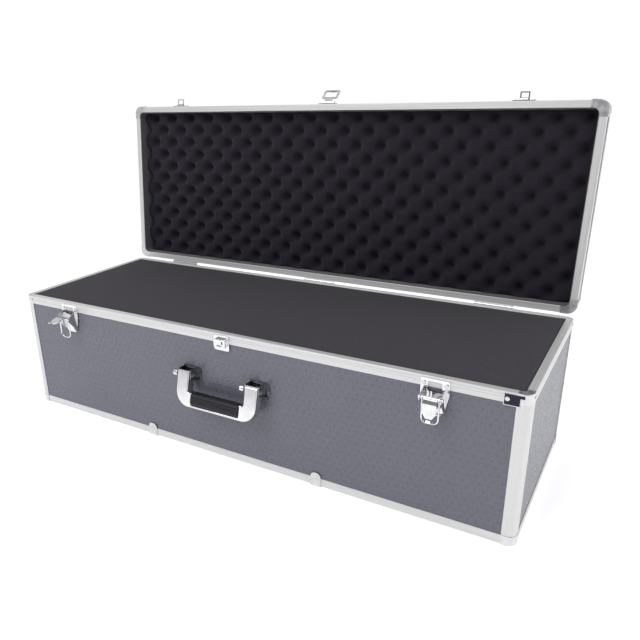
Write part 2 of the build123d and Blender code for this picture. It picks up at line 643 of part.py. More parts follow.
def bow_outline():
    """The bow seen from the front, hanging from z = 0: two arms that step in to hold the grip."""
    eye = HANDLE_DEPTH / 2
    outer = Pos(0, -HANDLE_DROP) * Rectangle(
        HANDLE_SPAN, HANDLE_DROP + eye, align=(Align.CENTER, Align.MIN))
    outer = fillet(outer.vertices().sort_by(Axis.Y)[:2], BOW_CORNER)
    hand_room = Pos(0, GRIP_HIGH) * Rectangle(
        HANDLE_SPAN - 2 * HANDLE_ARM, HANDLE_DROP, align=(Align.CENTER, Align.MIN))
    hand_room = fillet(hand_room.vertices().sort_by(Axis.Y)[:2], 4)
    grip_room = Pos(0, GRIP_LOW) * Rectangle(
        GRIP_LENGTH, GRIP_HEIGHT + 5, align=(Align.CENTER, Align.MIN))
    return outer - hand_room - grip_room


def handle_bow():
    """The chromed bow, with arms hollow at the back and rounded round their pins."""
    half_depth = HANDLE_DEPTH / 2
    bow = extrude(Plane.XZ * bow_outline(), half_depth, both=True)
    bow = fillet(bow.faces().sort_by(Axis.Y)[0].edges(), 1.6)
    below_eyes = block(-HANDLE_SPAN, HANDLE_SPAN, -HANDLE_DEPTH, HANDLE_DEPTH, -2 * HANDLE_DROP,
                       -half_depth / 2)
    bow = bow & (below_eyes + rod(EYE_RADIUS, -HANDLE_SPAN, HANDLE_SPAN))
    for sign in (-1, 1):
        x = sign * ARM_CENTRE
        half_room = HANDLE_ARM / 2 - ARM_WALL
        bow = bow - block(x - half_room, x + half_room, ARM_WALL - half_depth, half_depth + 1,
                          GRIP_HIGH, -EYE_RADIUS)
    return bow - rod(HANDLE_PIN_RADIUS + RUNNING, -HANDLE_SPAN, HANDLE_SPAN)


def handle_grip():
    """Ribbed plastic grip that sits in the bow on its bottom strip."""
    half = GRIP_LENGTH / 2
    centre_y, centre_z = (GRIP_BACK + GRIP_FRONT) / 2, (GRIP_LOW + GRIP_HIGH) / 2
    profile = Pos(centre_y, centre_z) * RectangleRounded(GRIP_BACK - GRIP_FRONT, GRIP_HEIGHT, 6.5)
    grip = extrude(Plane.YZ * profile, half, both=True)
    for rise in GRIP_GROOVES:
        z = centre_z + rise
        for face_y in (GRIP_FRONT, GRIP_BACK):
            groove = block(4 - half, half - 4, face_y - 0.7, face_y + 0.7, z - 0.8, z + 0.8)
            grip = grip - groove
    return grip


def hang_handle(piece):
    return Pos(0, HANDLE_PIN_Y, HANDLE_PIN_Z) * Rot(-HANDLE_TILT, 0, 0) * piece


def handle_bracket(x):
    """Bracket on the front board: a rounded back plate, a lug each side of the arm and a folded lip."""
    half = HANDLE_ARM / 2 + LUG_GAP + LUG
    board = FRONT + PANEL_OUT
    flange_face = board - FLANGE_THICK
    flange = block(x - FLANGE_HALF, x + FLANGE_HALF, flange_face, board,
                   HANDLE_PIN_Z - FLANGE_FALL, HANDLE_PIN_Z + FLANGE_RISE)
    bracket = fillet(flange.edges().filter_by(Axis.Y), 8)
    top = HANDLE_PIN_Z + LUG_RISE
    for start in (x - half, x + half - LUG):
        lug = block(start, start + LUG, HANDLE_PIN_Y - LUG_REACH, flange_face,
                    HANDLE_PIN_Z - LUG_FALL, top)
        lug = fillet(lug.edges().filter_by(Axis.X).sort_by(Axis.Y)[:2], 4)
        bracket = bracket + lug
    bracket = bracket + block(x - half, x + half, flange_face - LIP, flange_face, top - 1.6, top)
    return bracket - rod(HANDLE_PIN_RADIUS, x - FLANGE_HALF, x + FLANGE_HALF, HANDLE_PIN_Y, HANDLE_PIN_Z)


def handle_pin(x):
    """Pin through both lugs with a round knob on its left end and a washer on its right."""
    reach = HANDLE_ARM / 2 + LUG_GAP + LUG
    knob_right = x - reach - PIN_NECK
    pin = rod(HANDLE_PIN_RADIUS, knob_right, x + reach, HANDLE_PIN_Y, HANDLE_PIN_Z)
    knob = rod(PIN_KNOB_RADIUS, knob_right - PIN_KNOB, knob_right, HANDLE_PIN_Y, HANDLE_PIN_Z)
    knob = fillet(knob.edges(), 1.6)
    washer = rod(3.6, x + reach, x + reach + 1.2, HANDLE_PIN_Y, HANDLE_PIN_Z)
    return pin + knob + washer


def build_handle():
    nodes["handle_bow"] = hang_handle(handle_bow())
    nodes["handle_grip"] = hang_handle(handle_grip())
    nodes["handle_bracket_left"] = handle_bracket(-ARM_CENTRE)
    nodes["handle_bracket_right"] = handle_bracket(ARM_CENTRE)
    nodes["handle_pins"] = group([handle_pin(-ARM_CENTRE), handle_pin(ARM_CENTRE)])


# ---- name plate ---------------------------------------------------------------------------------
NAME_PLATE_X = (463.0, 484.0)
NAME_PLATE_Z = (221.0, 237.0)
NAME_TAB_X = 490.0       # a narrow tab runs on over the corner casting
NAME_TAB_LOW = 233.4
NAME_RIVET = (468.0, 230.4)


def build_name_plate():
    """A blank plate with a tab, held by one rivet."""
    left, right = NAME_PLATE_X
    low, high = NAME_PLATE_Z
    face = FRONT - PLATE
    plate = block(left, right, face, FRONT, low, high)
    plate = plate + block(right, NAME_TAB_X, face, FRONT, NAME_TAB_LOW, high)
    nodes["blank_name_plate"] = fillet(plate.edges().filter_by(Axis.Y), 1.0)


# ---- rivets -------------------------------------------------------------------------------------
EAR_RIVET_X = 16.4       # rivets of the latch plates' ears
EAR_RIVET_DROP = 7.5
KEEPER_RIVET_X = 15.2
KEEPER_RIVET_RISE = 11.0
HINGE_RIVET_X = 25.0
HINGE_RIVET_RISE = 9.5


def rivet(side, along, z, seat):
    """A domed rivet on a side; seat is how far its head's underside stands out from the section face."""
    _, _, offset = SIDES[side]
    head = Cylinder(RIVET_HEAD, RIVET_RISE, align=(Align.CENTER, Align.CENTER, Align.MIN))
    head = fillet(head.faces().sort_by(Axis.Z)[-1].edges(), RIVET_RISE * 0.8)
    shank = Cylinder(RIVET_SHANK, RIVET_GRIP, align=(Align.CENTER, Align.CENTER, Align.MAX))
    piece = Rot(90, 0, 0) * (head + shank)
    return on_side(side, Pos(along, -offset - seat, z) * piece)


def base_rivets():
    corner_inset = BASE_CORNER_ARM - 3.6
    rail_mid = BASE_HEIGHT - RAIL_HEIGHT / 2
    rivets = []
    for side, (_, length, _) in SIDES.items():
        for sign in (-1, 1):
            if (side, sign) != ("front", 1):
                rivets.append(rivet(side, sign * (length / 2 - corner_inset), rail_mid, 0))
    for x in (-LATCH_X, LATCH_X):
        for sign in (-1, 1):
            rivets.append(rivet("front", x + sign * EAR_RIVET_X, LATCH_TOP - EAR_RIVET_DROP, PLATE))
    for x in HINGE_CENTRES:
        for sign in (-1, 1):
            rivets.append(rivet("back", -x + sign * HINGE_RIVET_X, HINGE_Z - HINGE_RIVET_RISE, PLATE))
    rivets.append(rivet("front", *NAME_RIVET, PLATE))
    return group(rivets)


def lid_rivets():
    rim_mid = LID_RIM + RAIL_HEIGHT / 2
    corner_inset = LID_CORNER_ARM - 4.2
    rivets = []
    for side, (_, length, _) in SIDES.items():
        for sign in (-1, 1):
            rivets.append(rivet(side, sign * (length / 2 - corner_inset), rim_mid, PROUD))
    for x in (-LATCH_X, 0.0, LATCH_X):
        for sign in (-1, 1):
            rivets.append(rivet("front", x + sign * KEEPER_RIVET_X, LID_RIM + KEEPER_RIVET_RISE, PLATE))
    for x in HINGE_CENTRES:
        for sign in (-1, 1):
            rivets.append(rivet("back", -x + sign * HINGE_RIVET_X, HINGE_Z + HINGE_RIVET_RISE, PLATE))
    return group(rivets)


def pierce(names, rivets):
    """Drill each named piece for the rivets that pass through it."""
    for name in names:
        piece = nodes[name]
        box = piece.bounding_box()
        for solid in rivets.solids():
            other = solid.bounding_box()
            apart = (other.max.X < box.min.X or other.min.X > box.max.X
                     or other.max.Y < box.min.Y or other.min.Y > box.max.Y
                     or other.max.Z < box.min.Z or other.min.Z > box.max.Z)
            if not apart:
                piece = piece - solid
        nodes[name] = group([piece])


def build_rivets():
    nodes["base_rivets"] = base_rivets()
    nodes["lid_rivets"] = opened(lid_rivets())
    base_names = ["base_rim_corners", "latch_plate_left", "latch_plate_right",
                  "hinge_base_leaves", "blank_name_plate"]
    lid_names = ["lid_keeper_left", "lid_keeper_right", "hasp_flange", "hinge_lid_leaves"]
    for side in SIDES:
        base_names += ["base_rim_rail_" + side, "base_panel_" + side]
        lid_names += ["lid_rim_rail_" + side, "lid_panel_" + side]
    for corner in CORNERS:
        lid_names.append("lid_corner_" + corner)
    pierce(base_names, nodes["base_rivets"])
    pierce(lid_names, nodes["lid_rivets"])


# ---- build and write ----------------------------------------------------------------------------
build_base_shell()
build_base_foam()
build_lid_shell()
build_lid_foam()
build_hinges()
build_latches()
build_hasp()
build_handle()
build_name_plate()
build_rivets()

os.makedirs("parts", exist_ok=True)
for node_name, shape in nodes.items():
    export_step(shape, "parts/" + node_name + ".step")
print(len(nodes), "nodes written")
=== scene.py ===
import json
import math

import bmesh
import bpy
from mathutils import Matrix, Vector, noise


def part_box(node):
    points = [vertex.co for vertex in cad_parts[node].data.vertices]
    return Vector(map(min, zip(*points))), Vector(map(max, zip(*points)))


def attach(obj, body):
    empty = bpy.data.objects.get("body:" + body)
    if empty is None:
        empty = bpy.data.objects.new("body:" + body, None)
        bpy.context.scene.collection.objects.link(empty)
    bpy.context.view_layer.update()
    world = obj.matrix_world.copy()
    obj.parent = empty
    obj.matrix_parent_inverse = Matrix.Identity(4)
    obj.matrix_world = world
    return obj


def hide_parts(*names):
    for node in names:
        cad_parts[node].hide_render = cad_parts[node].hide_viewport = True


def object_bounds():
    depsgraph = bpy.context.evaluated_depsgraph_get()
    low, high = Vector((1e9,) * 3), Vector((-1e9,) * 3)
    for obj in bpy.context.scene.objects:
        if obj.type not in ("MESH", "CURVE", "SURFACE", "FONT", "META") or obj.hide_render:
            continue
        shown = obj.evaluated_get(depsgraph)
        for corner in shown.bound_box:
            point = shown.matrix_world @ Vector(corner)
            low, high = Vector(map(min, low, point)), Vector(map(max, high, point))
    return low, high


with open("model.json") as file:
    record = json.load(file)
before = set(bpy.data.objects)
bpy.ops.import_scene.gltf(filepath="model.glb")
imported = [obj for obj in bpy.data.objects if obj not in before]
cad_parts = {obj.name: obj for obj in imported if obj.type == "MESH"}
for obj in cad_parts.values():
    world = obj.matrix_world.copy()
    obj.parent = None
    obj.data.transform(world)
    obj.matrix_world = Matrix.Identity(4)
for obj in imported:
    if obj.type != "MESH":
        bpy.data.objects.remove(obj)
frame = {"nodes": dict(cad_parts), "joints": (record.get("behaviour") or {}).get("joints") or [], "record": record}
cad_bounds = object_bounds()

MM = 0.001

# ---- the lid's two places ----------------------------------------------------------------------
LID_HINGE = next(joint for joint in frame["joints"] if joint["name"] == "lid_hinge")
HINGE_POINT = Vector(LID_HINGE["pos_m"])
OPEN_ANGLE = math.radians(LID_HINGE["range_deg"][1])
OPENED = (Matrix.Translation(HINGE_POINT) @ Matrix.Rotation(-OPEN_ANGLE, 4, "X")
          @ Matrix.Translation(-HINGE_POINT))
SHUT = OPENED.inverted()
STILL = Matrix.Identity(4)


def lid_box(node):
    """The lowest and highest corner of a lid node as it lies when the lid is shut."""
    points = [SHUT @ vertex.co for vertex in frame["nodes"][node].data.vertices]
    low = Vector([min(point[axis] for point in points) for axis in range(3)])
    high = Vector([max(point[axis] for point in points) for axis in range(3)])
    return low, high


# ---- material helpers --------------------------------------------------------------------------
def start_material(name, colour, roughness, metallic=0.0, **others):
    """A material whose shader sockets hold everything that is the same all over the surface.
    Further sockets are given by name, with underscores for the spaces."""
    material = bpy.data.materials.new(name)
    material.use_nodes = True
    shader = material.node_tree.nodes["Principled BSDF"]
    shader.inputs["Base Color"].default_value = (*colour, 1.0)
    shader.inputs["Roughness"].default_value = roughness
    shader.inputs["Metallic"].default_value = metallic
    for socket, value in others.items():
        shader.inputs[socket.replace("_", " ")].default_value = value
    return material, material.node_tree, shader


def object_space(tree, stretch=(1, 1, 1), lean=0.0):
    """Object coordinates, turned about X by lean and then scaled along each axis."""
    coordinates = tree.nodes.new("ShaderNodeTexCoord")
    turn = tree.nodes.new("ShaderNodeMapping")
    turn.inputs["Rotation"].default_value = (lean, 0, 0)
    scale = tree.nodes.new("ShaderNodeMapping")
    scale.inputs["Scale"].default_value = stretch
    tree.links.new(coordinates.outputs["Object"], turn.inputs["Vector"])
    tree.links.new(turn.outputs["Vector"], scale.inputs["Vector"])
    return scale.outputs["Vector"]


def noise_of(tree, scale, detail=3.0, stretch=(1, 1, 1), lean=0.0):
    """Noise with so many features to the metre."""
    texture = tree.nodes.new("ShaderNodeTexNoise")
    texture.inputs["Scale"].default_value = scale
    texture.inputs["Detail"].default_value = detail
    tree.links.new(object_space(tree, stretch, lean), texture.inputs["Vector"])
    return texture.outputs["Fac"]


def cells_of(tree, scale):
    """Open cells: the distance to the nearest cell centre."""
    texture = tree.nodes.new("ShaderNodeTexVoronoi")
    texture.inputs["Scale"].default_value = scale
    tree.links.new(object_space(tree), texture.inputs["Vector"])
    return texture.outputs["Distance"]


def colour_between(tree, shader, factor, dark, light, start=0.3, end=0.7):
    """Drive the base colour between two colours by a texture."""
    ramp = tree.nodes.new("ShaderNodeValToRGB")
    ramp.color_ramp.elements[0].position = start
    ramp.color_ramp.elements[0].color = (*dark, 1.0)
    ramp.color_ramp.elements[1].position = end
    ramp.color_ramp.elements[1].color = (*light, 1.0)
    tree.links.new(factor, ramp.inputs["Fac"])
    tree.links.new(ramp.outputs["Color"], shader.inputs["Base Color"])


def roughness_between(tree, shader, factor, low, high):
    """Drive the roughness between two values by a texture."""
    spread = tree.nodes.new("ShaderNodeMapRange")
    spread.inputs["From Min"].default_value = 0.3
    spread.inputs["From Max"].default_value = 0.7
    spread.inputs["To Min"].default_value = low
    spread.inputs["To Max"].default_value = high
    tree.links.new(factor, spread.inputs["Value"])
    tree.links.new(spread.outputs["Result"], shader.inputs["Roughness"])


def add_bump(tree, shader, height, distance, strength=1.0):
    """Press a texture into the surface; a second call stacks on the first."""
    bump = tree.nodes.new("ShaderNodeBump")
    bump.inputs["Distance"].default_value = distance
    bump.inputs["Strength"].default_value = strength
    tree.links.new(height, bump.inputs["Height"])
    earlier = shader.inputs["Normal"].links
    if earlier:
        tree.links.new(earlier[0].from_socket, bump.inputs["Normal"])
    tree.links.new(bump.outputs["Normal"], shader.inputs["Normal"])


def mixed(tree, first, second, share):
    """Blend two grey signals; share is how much of the second one shows."""
    mix = tree.nodes.new("ShaderNodeMix")
    mix.inputs["Factor"].default_value = share
    tree.links.new(first, mix.inputs["A"])
    tree.links.new(second, mix.inputs["B"])
    return mix.outputs["Result"]


# ---- materials ---------------------------------------------------------------------------------
RISE_LAYER = "rise"      # the sheets' vertices carry their share of the embossed relief, which the sheet's colour turns into painted light and shade


def embossed_sheet():
    """Blue-grey plastic sheet, semi-gloss, with a fine orange-peel grain. The raised rings are painted paler and
    the low grooves and flat middles darker, as painted light and shade.
    """
    material, tree, shader = start_material("embossed_sheet", (0.115, 0.118, 0.150), 0.28)
    relief = tree.nodes.new("ShaderNodeAttribute")
    relief.attribute_name = RISE_LAYER
    cloud = noise_of(tree, 9.0, 4.0)
    # painted light and shade: the relief share lightens the raised rings and darkens the grooves and middles; the
    # cloud adds random tone
    height = mixed(tree, relief.outputs["Fac"], cloud, 0.45)
    colour_between(tree, shader, height, (0.098, 0.101, 0.131), (0.122, 0.126, 0.158), 0.1, 0.8)
    roughness_between(tree, shader, noise_of(tree, 60.0), 0.24, 0.32)
    add_bump(tree, shader, noise_of(tree, 1400.0, 2.0), 0.04 * MM, 0.35)
    return material


def brushed_section(name, stretch, lean=0.0):
    """Satin anodised aluminium with fine drawing lines along its length."""
    material, tree, shader = start_material(name, (0.62, 0.62, 0.615), 0.44, 0.5)
    lines = noise_of(tree, 1.0, 4.0, stretch, lean)
    colour_between(tree, shader, lines, (0.56, 0.56, 0.56), (0.68, 0.68, 0.675))
    roughness_between(tree, shader, lines, 0.36, 0.48)
    add_bump(tree, shader, lines, 0.02 * MM, 0.3)
    return material


def bright_casting():
    """Bright die-cast corners with a slight ripple in the polish."""
    material, tree, shader = start_material("bright_casting", (0.60, 0.60, 0.605), 0.30, 0.85)
    patches = noise_of(tree, 120.0, 3.0)
    colour_between(tree, shader, patches, (0.56, 0.56, 0.565), (0.66, 0.66, 0.665))
    roughness_between(tree, shader, patches, 0.24, 0.36)
    add_bump(tree, shader, noise_of(tree, 160.0, 2.0), 0.04 * MM, 0.1)
    return material


def chrome():
    """Chromed steel with faint smudges."""
    material, tree, shader = start_material("chrome", (0.68, 0.68, 0.69), 0.07, 1.0)
    smudge = noise_of(tree, 90.0, 4.0)
    colour_between(tree, shader, smudge, (0.62, 0.62, 0.63), (0.74, 0.74, 0.75))
    roughness_between(tree, shader, smudge, 0.05, 0.14)
    return material


def bracket_painted_reflection():
    """The handle's brackets: plated steel, duller than the chrome, with a darker colour that is painted reflection
    and shade.
    """
    # painted reflection and shade: the dark base colour stands in for the dark surroundings these chromed brackets
    # mirror
    material, tree, shader = start_material("bracket_painted_reflection", (0.20, 0.20, 0.21), 0.3, 1.0)
    patches = noise_of(tree, 200.0, 3.0)
    colour_between(tree, shader, patches, (0.16, 0.16, 0.17), (0.25, 0.25, 0.26))
    roughness_between(tree, shader, patches, 0.22, 0.38)
    return material


def rivet_steel():
    """Bright steel rivet heads with fine scuffs."""
    material, tree, shader = start_material("rivet_steel", (0.58, 0.58, 0.59), 0.2, 1.0)
    scuff = noise_of(tree, 700.0, 3.0)
    colour_between(tree, shader, scuff, (0.50, 0.50, 0.51), (0.66, 0.66, 0.67))
    roughness_between(tree, shader, scuff, 0.14, 0.30)
    return material


def open_cell_foam(name, dark, light, cell_size):
    """Open-cell foam: pits between thin struts, with painted shade darkening each pit and the struts left lighter.
    """
    material, tree, shader = start_material(
        name, light, 0.95, Sheen_Weight=0.05, Sheen_Roughness=0.6, Specular_IOR_Level=0.2)
    pits = cells_of(tree, 1.0 / cell_size)
    # painted shade: colour runs from dark at each pit's middle to light at the struts
    colour_between(tree, shader, pits, dark, light, 0.15, 0.75)
    add_bump(tree, shader, pits, 0.5 * cell_size, 0.6)
    add_bump(tree, shader, noise_of(tree, 120.0, 3.0), 0.5 * MM, 0.25)
    return material


def felt_liner():
    """Thin dark grey liner with a short nap."""
    material, tree, shader = start_material(
        "felt_liner", (0.075, 0.075, 0.08), 0.95, Sheen_Weight=0.3, Sheen_Roughness=0.5)
    fibres = noise_of(tree, 1500.0, 4.0)
    colour_between(tree, shader, fibres, (0.055, 0.054, 0.058), (0.090, 0.088, 0.094))
    add_bump(tree, shader, fibres, 0.15 * MM, 0.6)
    return material


def ribbed_grip():
    """Black moulded plastic with a fine spark-eroded grain."""
    material, tree, shader = start_material(
        "ribbed_grip", (0.012, 0.012, 0.014), 0.45, Specular_IOR_Level=0.3)
    grain = noise_of(tree, 1800.0, 2.0)
    colour_between(tree, shader, grain, (0.010, 0.010, 0.012), (0.018, 0.018, 0.021))
    roughness_between(tree, shader, grain, 0.38, 0.55)
    add_bump(tree, shader, grain, 0.05 * MM, 0.5)
    return material


def dark_plate():
    """Glossy near-black plate with a violet cast."""
    material, tree, shader = start_material(
        "dark_plate", (0.010, 0.008, 0.026), 0.22, Specular_IOR_Level=0.22)
    cloud = noise_of(tree, 150.0, 2.0)
    colour_between(tree, shader, cloud, (0.009, 0.008, 0.020), (0.017, 0.013, 0.040))
    roughness_between(tree, shader, cloud, 0.16, 0.30)
    return material


LINES = 900.0            # drawing lines to the metre
RUN = 4.0                # how slowly they change along a section
SHEET = embossed_sheet()
ALONG_X = brushed_section("brushed_along_x", (RUN, LINES, LINES))
ALONG_Y = brushed_section("brushed_along_y", (LINES, RUN, LINES))
ALONG_Z = brushed_section("brushed_along_z", (LINES, LINES, RUN))
ALONG_LID = brushed_section("brushed_along_lid", (LINES, RUN, LINES), OPEN_ANGLE)
CASTING = bright_casting()
CHROME = chrome()
PAINTED_DARK_BRACKET = bracket_painted_reflection()
RIVET = rivet_steel()
# each foam's dark colour is the painted shade in its pits, its light colour the struts
BASE_FOAM = open_cell_foam("base_foam", (0.016, 0.0146, 0.0175), (0.048, 0.0440, 0.0530), 1.1 * MM)
LID_FOAM = open_cell_foam("lid_foam", (0.0062, 0.0050, 0.0081), (0.021, 0.0173, 0.0265), 0.9 * MM)
LINER = felt_liner()
GRIP = ribbed_grip()
DARK_PLATE = dark_plate()

BRACKETS = "handle_bracket"  # these nodes are duller than the rest of their slot, and darker by painted reflection and shade

SLOT_MATERIAL = {
    "embossed_board": SHEET,
    "bright_casting": CASTING,
    "chromed_steel": CHROME,
    "rivets": RIVET,
    "base_foam": BASE_FOAM,
    "lid_foam": LID_FOAM,
    "lining": LINER,
    "grip": GRIP,
    "name_plate": DARK_PLATE,
}


def section_material(node):
    """The brushed material whose lines run along a section."""
    low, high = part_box(node)
    size = high - low
    if size.x > size.y and size.x > size.z:
        return ALONG_X
    if node.startswith("lid_"):
        return ALONG_LID
    return ALONG_Y if size.y > size.z else ALONG_Z


def finish_nodes():
    """Give each CAD node the material of its slot."""
    for subpart in frame["record"]["subparts"]:
        node = subpart["node"]
        slot_name = subpart["material_slot"]
        material = SLOT_MATERIAL.get(slot_name) or section_material(node)
        # the brackets take the darker metal, a painted reflection and shade
        if node.startswith(BRACKETS):
            material = PAINTED_DARK_BRACKET
        for slot in frame["nodes"][node].material_slots:
            slot.link = "OBJECT"
            slot.material = material


# ---- mesh helpers ------------------------------------------------------------------------------
def make_piece(name, mesh, material, body, place=STILL):
    """Put a mesh into the scene as a piece that rides on a body."""
    mesh.transform(place)
    mesh.materials.append(material)
    piece = bpy.data.objects.new(name, mesh)
    bpy.context.scene.collection.objects.link(piece)
    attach(piece, body)
    return piece


def mesh_from(bm, name, smooth=True):
    """Turn a bmesh into a mesh with outward normals."""
    bmesh.ops.recalc_face_normals(bm, faces=bm.faces)
    for face in bm.faces:
        face.smooth = smooth
    mesh = bpy.data.meshes.new(name)
    bm.to_mesh(mesh)
    bm.free()
    return mesh


def close_behind(bm, level):
    """Turn an open sheet's edge back to a level along Z and close it with a flat back."""
    rim = [edge for edge in bm.edges if edge.is_boundary]
    made = bmesh.ops.extrude_edge_only(bm, edges=rim)["geom"]
    back_edges = [item for item in made if isinstance(item, bmesh.types.BMEdge)
                  and item.is_boundary]
    for item in made:
        if isinstance(item, bmesh.types.BMVert):
            item.co.z = level
    bmesh.ops.edgeloop_fill(bm, edges=back_edges)


def join_loops(bm, first, second):
    """Join two closed loops of vertices with a band of faces."""
    count = len(first)
    for i in range(count):
        j = (i + 1) % count
        bm.faces.new((first[i], first[j], second[j], second[i]))


def crease_by_angle(mesh, degrees):
    """Keep edges sharper than this angle crisp in the shading."""
    mesh.set_sharp_from_angle(angle=math.radians(degrees))


# ---- hexagon-embossed sheet --------------------------------------------------------------------
HEX_PITCH = 12.5 * MM
HEX_RELIEF = 0.30 * MM
HEX_WELD = HEX_PITCH / 100  # neighbouring cells' corners closer than this become one
HEX_LEVELS = (            # share of the cell's radius, share of the relief
    (1.00, 0.10),
    (0.86, 1.00),
    (0.62, 1.00),
    (0.40, 0.00),
)
TRIM_WIDTH = 13 * MM     # of the edge trims round the top and the underside
SHEET_BACK = 0.3 * MM    # how far the sheet's edge reaches back into the board
SHEET_LIFT = 0.04 * MM   # so that the sheet's low spots stay clear of the board's face


def hexagon(centre, radius):
    """The corners of a hexagon that stands on a point."""
    angles = [math.radians(30 + 60 * corner) for corner in range(6)]
    return [(centre[0] + radius * math.cos(a), centre[1] + radius * math.sin(a)) for a in angles]


def honeycomb(width, height):
    """Cell centres that cover a rectangle round (0, 0)."""
    row_step = HEX_PITCH * math.sqrt(3) / 2
    rows = math.ceil(height / 2 / row_step) + 1
    columns = math.ceil(width / 2 / HEX_PITCH) + 1
    for row in range(-rows, rows + 1):
        shift = HEX_PITCH / 2 if row % 2 else 0.0
        for column in range(-columns, columns + 1):
            yield column * HEX_PITCH + shift, row * row_step


def add_cell(bm, centre):
    """One cell: a raised hexagonal ring round a flat middle."""
    rise_of = bm.verts.layers.float[RISE_LAYER]
    radius = HEX_PITCH / math.sqrt(3)
    loops = []
    for share, rise in HEX_LEVELS:
        height = SHEET_LIFT + HEX_RELIEF * rise
        loops.append([bm.verts.new((x, y, height)) for x, y in hexagon(centre, radius * share)])
        for vert in loops[-1]:
            vert[rise_of] = rise
    for outer, inner in zip(loops, loops[1:]):
        join_loops(bm, outer, inner)
    bm.faces.new(loops[-1])


def trim_to(bm, width, height):
    """Cut the sheet to a rectangle."""
    for direction, reach in (((1, 0, 0), width), ((-1, 0, 0), width),
                             ((0, 1, 0), height), ((0, -1, 0), height)):
        normal = Vector(direction)
        everything = list(bm.verts) + list(bm.edges) + list(bm.faces)
        bmesh.ops.bisect_plane(bm, geom=everything, plane_co=normal * reach / 2,
                               plane_no=normal, clear_outer=True)


def embossed_panel(name, width, height, place, body):
    """A cut sheet of the hexagon pattern, facing its own +Z, put in place by a matrix."""
    bm = bmesh.new()
    bm.verts.layers.float.new(RISE_LAYER)
    for centre in honeycomb(width, height):
        add_cell(bm, centre)
    bmesh.ops.remove_doubles(bm, verts=bm.verts, dist=HEX_WELD)
    trim_to(bm, width, height)
    close_behind(bm, -SHEET_BACK)
    mesh = mesh_from(bm, name)
    crease_by_angle(mesh, 60)
    return make_piece(name, mesh, SHEET, body, place)


def facing(centre, across, up):
    """A matrix whose X runs across, whose Y runs up and whose Z looks outward."""
    across, up = Vector(across), Vector(up)
    turn = Matrix((across, up, across.cross(up))).transposed()
    return Matrix.Translation(centre) @ turn.to_4x4()


def cad_footprint():
    """The outer corners of the base's sections, which are the case's length and depth."""
    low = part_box("base_post_front_left")[0]
    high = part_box("base_post_back_right")[1]
    return low, high


def side_sheets(prefix, boards, low_z, high_z, arm, lid):
    """Embossed sheets on the four upright boards between two heights, clear of the corner posts."""
    body = "lid" if lid else "base"
    settle = OPENED if lid else STILL
    box_of = lid_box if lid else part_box
    middle, height = (low_z + high_z) / 2, high_z - low_z
    outer_low, outer_high = cad_footprint()
    span_x = outer_high.x - outer_low.x - 2 * arm
    span_y = outer_high.y - outer_low.y - 2 * arm
    faces = {
        "front": (Vector((0, box_of(boards + "front")[0].y, middle)), (1, 0, 0), span_x),
        "back": (Vector((0, box_of(boards + "back")[1].y, middle)), (-1, 0, 0), span_x),
        "left": (Vector((box_of(boards + "left")[0].x, 0, middle)), (0, -1, 0), span_y),
        "right": (Vector((box_of(boards + "right")[1].x, 0, middle)), (0, 1, 0), span_y),
    }
    for side, (centre, across, width) in faces.items():
        place = settle @ facing(centre, across, (0, 0, 1))
        embossed_panel(prefix + side, width, height, place, body)


def add_embossed_sheets():
    """Sheets on the four sides of the base and the lid, on the lid's top and on the underside."""
    post_low, post_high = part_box("base_post_front_left")
    arm = post_high.x - post_low.x
    side_sheets("sheet_base_", "base_panel_", post_low.z, post_high.z, arm, lid=False)
    rail_high = lid_box("lid_rim_rail_front")[1].z
    trim_low = lid_box("lid_top_trims")[0].z
    side_sheets("sheet_lid_", "lid_panel_", rail_high, trim_low, arm, lid=True)

    outer_low, outer_high = cad_footprint()
    width = outer_high.x - outer_low.x - 2 * TRIM_WIDTH
    depth = outer_high.y - outer_low.y - 2 * TRIM_WIDTH
    top = Vector((0, 0, lid_box("lid_panel_top")[1].z))
    embossed_panel("sheet_lid_top", width, depth, OPENED @ facing(top, (1, 0, 0), (0, 1, 0)), "lid")
    under = Vector((0, 0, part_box("base_panel_bottom")[0].z))
    embossed_panel("sheet_base_bottom", width, depth, facing(under, (1, 0, 0), (0, -1, 0)), "base")


# ---- foam in the base --------------------------------------------------------------------------
FOAM_CORNER = 6 * MM
FOAM_EDGE = 2.5 * MM
FOAM_GRID = 18 * MM
FOAM_SWELL = 0.45 * MM   # how unevenly the foam's top lies
BROAD_WAVES = 14.0       # features to the metre of the uneven top
FINE_WAVES = 45.0
TOUCHING = 0.01 * MM     # closer than this to a face counts as on it


def straight_cuts(bm, low, high, step):
    """Cut a mesh into columns and rows."""
    for axis in (0, 1):
        count = round((high[axis] - low[axis]) / step)
        for i in range(1, count):
            at = Vector((0, 0, 0))
            at[axis] = low[axis] + (high[axis] - low[axis]) * i / count
            normal = Vector((0, 0, 0))
            normal[axis] = 1
            everything = list(bm.verts) + list(bm.edges) + list(bm.faces)
            bmesh.ops.bisect_plane(bm, geom=everything, plane_co=at, plane_no=normal)


